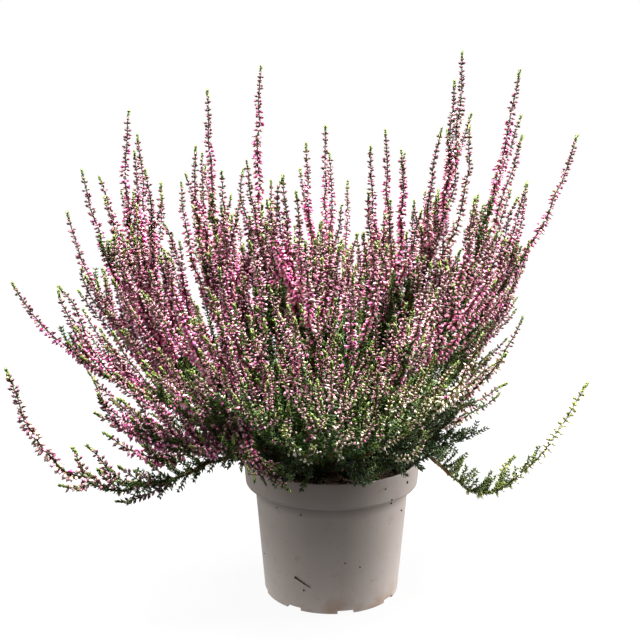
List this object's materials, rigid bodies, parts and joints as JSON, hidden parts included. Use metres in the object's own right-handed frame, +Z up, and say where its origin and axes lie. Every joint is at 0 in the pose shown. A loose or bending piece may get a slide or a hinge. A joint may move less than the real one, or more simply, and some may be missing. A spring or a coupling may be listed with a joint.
{
  "type": "potted heather",
  "caption": "Bushy flowering heather with fanned, slender woody limbs and spikes of pink florets, growing in peat in a tapered plastic nursery pot with a banded rim and a notched foot.",
  "frame": {"origin": "middle of the pot's foot, on the surface that the pot stands on", "axes": "+Z up along the pot's axis; +X along the bush's widest spread, to the right as seen from the front; -Y towards the front"},
  "size_m": [0.3928, 0.3552, 0.362],
  "materials": {
    "pot_plastic": "matte",
    "peat": "rough",
    "bark": "rough",
    "leaf": "satin",
    "bloom": "satin"
  },
  "bodies": {
    "root": {"pot": "pot_plastic", "soil": "peat", "wood": "bark", "spray_01": "bloom", "spray_02": "bloom", "spray_03": "bloom", "spray_04": "bloom", "spray_05": "bloom", "spray_06": "bloom", "spray_07": "bloom", "spray_08": "bloom", "spray_09": "bloom", "spray_10": "bloom", "spray_11": "bloom", "spray_12": "bloom", "spray_13": "bloom", "spray_14": "bloom", "spray_15": "bloom", "spray_16": "bloom", "spray_17": "bloom", "spray_18": "bloom", "spray_19": "bloom", "spray_20": "bloom", "spray_21": "bloom", "spray_22": "bloom", "spray_23": "bloom", "spray_24": "bloom", "spray_25": "bloom", "spray_26": "bloom", "spray_27": "bloom", "spray_28": "bloom", "spray_29": "bloom", "spray_30": "bloom", "spray_31": "bloom", "spray_32": "bloom", "spray_33": "bloom", "spray_34": "bloom", "spray_35": "bloom", "spray_36": "bloom", "spray_37": "bloom", "spray_38": "bloom", "spray_39": "bloom", "spray_40": "bloom", "spray_41": "bloom", "spray_42": "bloom", "spray_43": "bloom", "spray_44": "bloom", "leafy_shoot_01": "leaf", "leafy_shoot_02": "leaf", "leafy_shoot_03": "leaf", "leafy_shoot_04": "leaf", "leafy_shoot_05": "leaf", "leafy_shoot_06": "leaf", "leafy_shoot_07": "leaf", "leafy_shoot_08": "leaf", "leafy_shoot_09": "leaf", "leafy_shoot_10": "leaf", "leafy_shoot_11": "leaf", "leafy_shoot_12": "leaf"}
  },
  "joints": []
}
